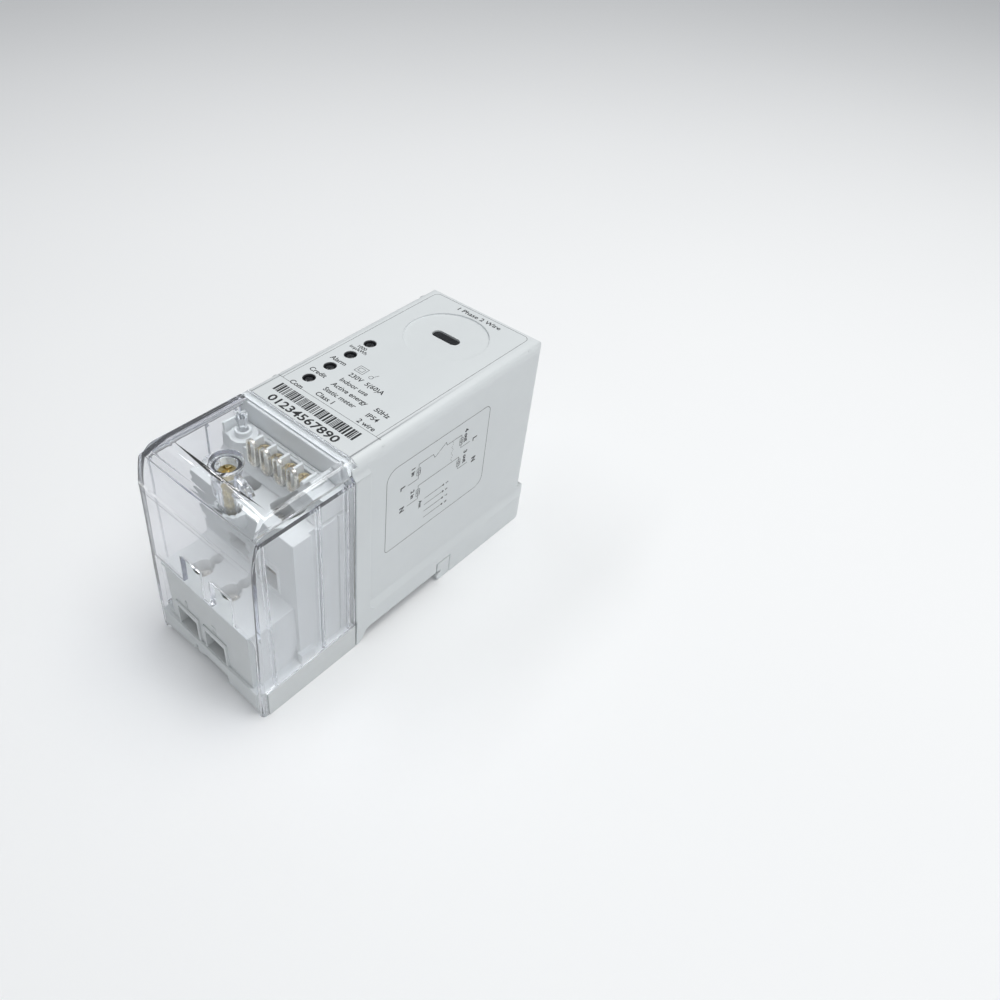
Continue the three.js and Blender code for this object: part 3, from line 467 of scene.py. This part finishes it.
def refined(node, width):
    """The fine version of a CAD node, in its place: rounded edges, smooth curves, flat flats."""
    piece = link(bpy.data.objects.new(node + "_fine", rounded_edges(node, width)))
    piece.data.shade_smooth()
    piece.data.set_sharp_from_angle(angle=SHARP)
    flats = piece.modifiers.new("flat_faces", "WEIGHTED_NORMAL")
    flats.weight = 80
    flats.keep_sharp = True
    slot = SLOT_OF[node]
    return dress(piece, BODY_OF[node], FINISHES[slot], [node])


EDGE = {
    "case_shell": 0.5 * MM,
    "rear_plate": 0.3 * MM,
    "terminal_block": 0.3 * MM,
    "aux_block": 0.22 * MM,
    "terminal_cover": 0.35 * MM,
    "seal_screw_head": 0.3 * MM,
    "seal_screw": 0.15 * MM,
    "cover_switch_plunger": 0.1 * MM,
    "din_clip": 0.3 * MM,
    "optical_window": 0.15 * MM,
    "block_gasket": 0.3 * MM,
}
EDGE |= {f"main_screw_{k}": 0.15 * MM for k in range(1, 5)}
EDGE |= {f"main_cage_{k}": 0.2 * MM for k in range(1, 5)}
EDGE |= {f"busbar_{k}": 0.2 * MM for k in range(1, 5)}
EDGE |= {f"aux_screw_{k}": 0.12 * MM for k in range(1, 5)}
EDGE |= {f"aux_clamp_{k}": 0.28 * MM for k in range(1, 5)}
EDGE |= {f"case_screw_{k}": 0.12 * MM for k in range(1, 5)}
EDGE |= {f"led_lens_{k}": 0.1 * MM for k in range(1, 5)}


def carry_over():
    """The sealed inner nodes keep their CAD shape and get their finish."""
    for node, piece in frame["nodes"].items():
        if node in EDGE:
            continue
        piece.data.materials.clear()
        piece.data.materials.append(FINISHES[SLOT_OF[node]])


# ---------- printing ----------
PRINT_DEPTH = 0.02 * MM
SUNK = 0.5
CAPITAL = 0.69
LEAST_MITRE = 0.35
RING_SIDES = 16
PRINT_WELD = 0.0005 * MM


class Print:
    """Flat marks on one face, drawn in millimetres: u runs along across, v along up."""

    def __init__(self, name, origin, across, up):
        self.name = name
        out = Vector(across).cross(Vector(up))
        self.frame = Matrix.Translation(origin) @ Matrix((across, up, out)).transposed().to_4x4()
        self.bm = bmesh.new()

    def face(self, points):
        verts = [self.bm.verts.new((u * MM, v * MM, 0)) for u, v in points]
        self.bm.faces.new(verts)

    def bar(self, u0, u1, v0, v1):
        self.face([(u0, v0), (u1, v0), (u1, v1), (u0, v1)])

    def line(self, points, width, closed=False):
        """A mitred stroke through the points."""
        pts = [Vector(p) for p in points]
        n = len(pts)
        left, right = [], []
        for k in range(n):
            before = pts[k] - pts[k - 1] if (k or closed) else pts[1] - pts[0]
            after = pts[(k + 1) % n] - pts[k] if (k < n - 1 or closed) else before
            before.normalize()
            after.normalize()
            side = Vector((-before.y - after.y, before.x + after.x)).normalized()
            reach = width / 2 / max(LEAST_MITRE, side.dot(Vector((-before.y, before.x))))
            left.append(pts[k] + side * reach)
            right.append(pts[k] - side * reach)
        rows = [[self.bm.verts.new((*(p * MM), 0)) for p in pair] for pair in zip(left, right)]
        for k in range(n if closed else n - 1):
            (a, b), (c, d) = rows[k], rows[(k + 1) % n]
            self.bm.faces.new((b, d, c, a))

    def disc(self, u, v, r, sides=20):
        turns = [2 * math.pi * k / sides for k in range(sides)]
        self.face([(u + r * math.cos(t), v + r * math.sin(t)) for t in turns])

    def ring(self, u, v, r, width):
        turns = [2 * math.pi * k / RING_SIDES for k in range(RING_SIDES)]
        self.line([(u + r * math.cos(t), v + r * math.sin(t)) for t in turns], width, closed=True)

    def text(self, words, u, v, height, turn=0.0, align="LEFT", stretch=1.0, weight=0.02):
        """Lettering whose capitals are height tall, its baseline starting at (u, v)."""
        curve = bpy.data.curves.new("lettering", "FONT")
        curve.body = words
        curve.size = height * MM / CAPITAL
        curve.align_x = align
        curve.resolution_u = 3
        curve.offset = weight * height * MM
        holder = link(bpy.data.objects.new("lettering", curve))
        mesh = bpy.data.meshes.new_from_object(holder.evaluated_get(bpy.context.evaluated_depsgraph_get()))
        bpy.data.objects.remove(holder)
        spin = Matrix.Rotation(math.radians(turn), 4, "Z")
        mesh.transform(Matrix.Translation((u * MM, v * MM, 0)) @ spin @ Matrix.Diagonal((stretch, 1, 1, 1)))
        self.bm.from_mesh(mesh)
        bpy.data.meshes.remove(mesh)

    def finish(self, material, depth=PRINT_DEPTH, slot="black_plastic"):
        """The marks as closed solids that stand depth proud of the face."""
        bmesh.ops.remove_doubles(self.bm, verts=self.bm.verts, dist=PRINT_WELD)
        flats = list(self.bm.faces)
        bmesh.ops.recalc_face_normals(self.bm, faces=flats)
        for f in flats:
            if f.normal.z < 0:
                f.normal_flip()
        made = bmesh.ops.extrude_face_region(self.bm, geom=flats, use_keep_orig=True)
        raised = [g for g in made["geom"] if isinstance(g, bmesh.types.BMVert)]
        bmesh.ops.translate(self.bm, verts=raised, vec=(0, 0, depth * (1 + SUNK)))
        bmesh.ops.translate(self.bm, verts=self.bm.verts, vec=(0, 0, -depth * SUNK))
        bmesh.ops.recalc_face_normals(self.bm, faces=self.bm.faces)
        mesh = bpy.data.meshes.new(self.name)
        self.bm.to_mesh(mesh)
        self.bm.free()
        mesh.transform(self.frame)
        piece = link(bpy.data.objects.new(self.name, mesh))
        return dress(piece, "housing", material)


STEPS = 6


def rounded(u0, u1, v0, v1, radii, steps=STEPS):
    """A rounded rectangle's points, from its low right corner round; radii run low left to low right."""
    low_left, high_left, high_right, low_right = radii
    corners = (
        (u1 - low_right, v0 + low_right, low_right, -90),
        (u1 - high_right, v1 - high_right, high_right, 0),
        (u0 + high_left, v1 - high_left, high_left, 90),
        (u0 + low_left, v0 + low_left, low_left, 180),
    )
    points = []
    for u, v, r, start in corners:
        for k in range(steps + 1):
            t = math.radians(start + 90 * k / steps)
            points.append((u + r * math.cos(t), v + r * math.sin(t)))
    return points


FACE_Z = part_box("case_shell")[1].z
LABEL_LINE = 0.13
SIGN_LINE = 0.16
LABEL = {"half": 20.8, "near": -11.6, "far": 62.4, "corner": 2.2}


def lamp_places():
    boxes = [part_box(f"led_lens_{k}") for k in range(1, 5)]
    return [((low + high) / 2 / MM).to_2d() for low, high in boxes]


ROWS = (
    (-10.4, "Class 1"),
    (-7.0, "Static meter"),
    (-3.5, "Active energy"),
    (0.0, "Indoor use"),
    (3.9, "230V  5(60)A"),
)
RIGHT_ROWS = ((-10.7, "2 wire"), (-7.0, "IP54"), (-3.3, "50Hz"))
ROWS_AT = -7.2
RIGHT_ROWS_AT = 11.4
ROW_HEIGHT = 1.9
SMALL_HEIGHT = 1.4
SERIAL_HEIGHT = 3.0
BARCODE = {"first": -18.4, "last": 17.2, "low": -17.9, "high": -13.6}
BARS = (0.3, 0.3, 0.55, 0.8)
GAPS = (0.24, 0.24, 0.4, 0.55)
LEAST_BAR = 0.2
LAMP_NAMES = (("Com",), ("Credit",), ("Alarm",), ("imp/kWh", "1000"))


def print_label():
    """The label face: serial number row, barcode, lamp names and data lines."""
    ink = Print("label_print", (0, 0, FACE_Z), (1, 0, 0), (0, 1, 0))
    rng = random.Random(SEED)
    u = BARCODE["first"]
    while u < BARCODE["last"] - LEAST_BAR:
        width = rng.choice(BARS)
        ink.bar(u, min(u + width, BARCODE["last"]), BARCODE["low"], BARCODE["high"])
        u += width + rng.choice(GAPS)
    ink.text("01234567890", -16.2, -22.3, SERIAL_HEIGHT, stretch=1.28, weight=0.03)
    for (x, y), lines in zip(lamp_places(), LAMP_NAMES):
        height = ROW_HEIGHT if len(lines) == 1 else SMALL_HEIGHT
        for k, words in enumerate(lines):
            ink.text(words, x, y - 6.1 + 1.7 * k, height, align="CENTER")
    for y, words in ROWS:
        ink.text(words, ROWS_AT, y, ROW_HEIGHT)
    for y, words in RIGHT_ROWS:
        ink.text(words, RIGHT_ROWS_AT, y, ROW_HEIGHT)
    ink.text("1 Phase 2 Wire", 0.7, 58.9, ROW_HEIGHT, align="CENTER", stretch=1.12)
    return ink.finish(INK)


def print_label_lines():
    """The label's fine outline, the double-square sign and the sealed-instrument sign."""
    ink = Print("label_lines", (0, 0, FACE_Z), (1, 0, 0), (0, 1, 0))
    half, near, far, r = LABEL["half"], LABEL["near"], LABEL["far"], LABEL["corner"]
    arcs = rounded(-half, half, near, far, (0.1, r, r, 0.1), STEPS)
    far_corners = arcs[STEPS + 1 : 3 * STEPS + 3]
    ink.line([(half, near), *far_corners, (-half, near)], LABEL_LINE)
    ink.line([(-half - 2, near), (half + 2, near)], LABEL_LINE)
    for inset in (0.0, 0.8):
        square = rounded(-7.7 + inset, -4.0 - inset, 7.3 + inset, 10.6 - inset, (0.1,) * 4, 1)
        ink.line(square, SIGN_LINE, closed=True)
    ink.ring(-0.9, 8.2, 0.75, SIGN_LINE)
    ink.line([(-0.4, 8.9), (0.4, 10.6)], SIGN_LINE)
    return ink.finish(FINE_INK)


PANEL_INSET = 1.5 * MM
SIDE_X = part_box("case_shell")[1].x - PANEL_INSET
SIDE_LINE = 0.17
AUX_LINES = {"first": 46.8, "pitch": 2.93, "from": 7.0, "to": 16.1}
LIVE = [(-1.6, 58.0), (3.2, 58.0), (3.2, 64.0), (9.9, 64.0), (10.7, 62.3), (16.0, 65.4), (16.5, 64.0)]
LIVE += [(23.8, 64.0), (23.8, 58.6), (28.3, 58.6)]
NEUTRAL = [(-1.7, 49.1), (3.4, 49.1), (3.4, 54.8), (23.3, 54.8), (23.3, 49.6), (28.2, 49.6)]
TERMINAL_MARKS = ((3.2, 60.9), (23.8, 61.3), (3.4, 51.8), (23.3, 52.3))
SIDE_WORDS = (
    (-4.9, 59.0, "L", 2.0),
    (-5.0, 50.2, "N", 2.0),
    (30.0, 59.3, "L", 2.0),
    (30.5, 50.2, "N", 2.0),
    (-0.1, 64.2, "1 in", 1.6),
    (0.0, 54.4, "2 in", 1.6),
    (25.3, 65.4, "4 out", 1.7),
    (25.7, 56.0, "3 out", 1.7),
    (4.3, 47.2, "Aux", 1.3),
)


def print_side():
    """The wiring diagram on the +X side."""
    ink = Print("side_print", (SIDE_X, 0, 0), (0, 1, 0), (0, 0, 1))
    ink.line(rounded(-11.3, 37.8, 34.0, 69.0, (1.2, 4.6, 2.4, 4.0), 8), SIDE_LINE, closed=True)
    ink.line(LIVE, SIDE_LINE)
    ink.line(NEUTRAL, SIDE_LINE)
    for u, v in TERMINAL_MARKS:
        mark = rounded(u - 0.85, u + 0.85, v - 1.4, v + 1.4, (0.3,) * 4, 2)
        ink.line(mark, SIDE_LINE, closed=True)
        ink.ring(u + 0.1, v, 0.6, SIDE_LINE)
    for k in range(16):
        ink.disc(19.4 + 0.35 * math.sin(k * 1.3), 63.6 - 0.55 * k, 0.13, 8)
    for k in range(4):
        v = AUX_LINES["first"] - AUX_LINES["pitch"] * k
        ink.line([(AUX_LINES["from"], v), (AUX_LINES["to"], v)], SIDE_LINE)
        ink.disc(16.3, v, 0.45)
        ink.text(str(5 + k), 17.6, v + 0.4, 1.2, turn=-90)
    return ink.finish(FINE_INK)


def print_side_words():
    """The letters and numbers of the wiring diagram."""
    ink = Print("side_words", (SIDE_X, 0, 0), (0, 1, 0), (0, 0, 1))
    for u, v, words, height in SIDE_WORDS:
        ink.text(words, u, v, height, turn=-90, weight=0.05)
    return ink.finish(INK)


ENTRY_INSET = 1.2 * MM
NUMBER_FOOT = 22.6


def mould_numbers():
    """Raised terminal numbers over the lower cable entries."""
    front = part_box("terminal_block")[0].y + ENTRY_INSET
    ink = Print("terminal_numbers", (0, front, 0), (1, 0, 0), (0, 0, 1))
    for k in (1, 2):
        low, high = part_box(f"main_cage_{k}")
        middle = (low + high) / 2 / MM
        ink.text(str(k), middle.x, NUMBER_FOOT, 3.0, align="CENTER")
    return ink.finish(FINISHES["block_plastic"], depth=0.2 * MM, slot="block_plastic")


# Painted shade: a black plastic sleeve lines each lamp hole so that the hole reads dark.
SLEEVE_SIDES = 32
SLEEVE = ((2.17, -2.0), (2.17, -0.22), (1.98, -0.22), (1.86, -0.5), (1.86, -2.0))


def sleeve_lamp(name, x, y):
    """A black tube lining one lamp's hole: painted shade, so the hole reads dark."""
    turns = [2 * math.pi * k / SLEEVE_SIDES for k in range(SLEEVE_SIDES)]
    bm = bmesh.new()
    rings = []
    for r, dz in SLEEVE:
        places = [((x + r * math.cos(t)) * MM, (y + r * math.sin(t)) * MM, FACE_Z + dz * MM) for t in turns]
        rings.append([bm.verts.new(place) for place in places])
    for ring, after in zip(rings, rings[1:] + rings[:1]):
        for k in range(SLEEVE_SIDES):
            n = (k + 1) % SLEEVE_SIDES
            bm.faces.new((ring[k], ring[n], after[n], after[k]))
    bmesh.ops.recalc_face_normals(bm, faces=bm.faces)
    mesh = bpy.data.meshes.new(name)
    bm.to_mesh(mesh)
    bm.free()
    mesh.shade_smooth()
    piece = link(bpy.data.objects.new(name, mesh))
    return dress(piece, "housing", FINISHES["black_plastic"])


# ---------- floor ----------
def lay_floor():
    bm = bmesh.new()
    bmesh.ops.create_grid(bm, x_segments=8, y_segments=8, size=3.0)
    mesh = bpy.data.meshes.new("floor")
    bm.to_mesh(mesh)
    bm.free()
    floor = link(bpy.data.objects.new("floor", mesh))
    floor.location.z = CAD_BOX[0].z - 0.05 * MM
    finish = Finish("floor_paper", roughness=0.9)
    finish.colours(finish.noise(3, 2), (0.3, (0.93, 0.935, 0.94)), (0.7, (0.95, 0.955, 0.96)))
    mesh.materials.append(finish.material)


make_camera()
light_the_studio()
lay_floor()
for part, round_edge in EDGE.items():
    refined(part, round_edge)
carry_over()
print_label()
print_label_lines()
print_side()
print_side_words()
mould_numbers()
# Painted shade: a black sleeve in each lamp hole darkens it.
for number, (lamp_x, lamp_y) in enumerate(lamp_places(), 1):
    sleeve_lamp(f"lamp_hole_shade_{number}", lamp_x, lamp_y)
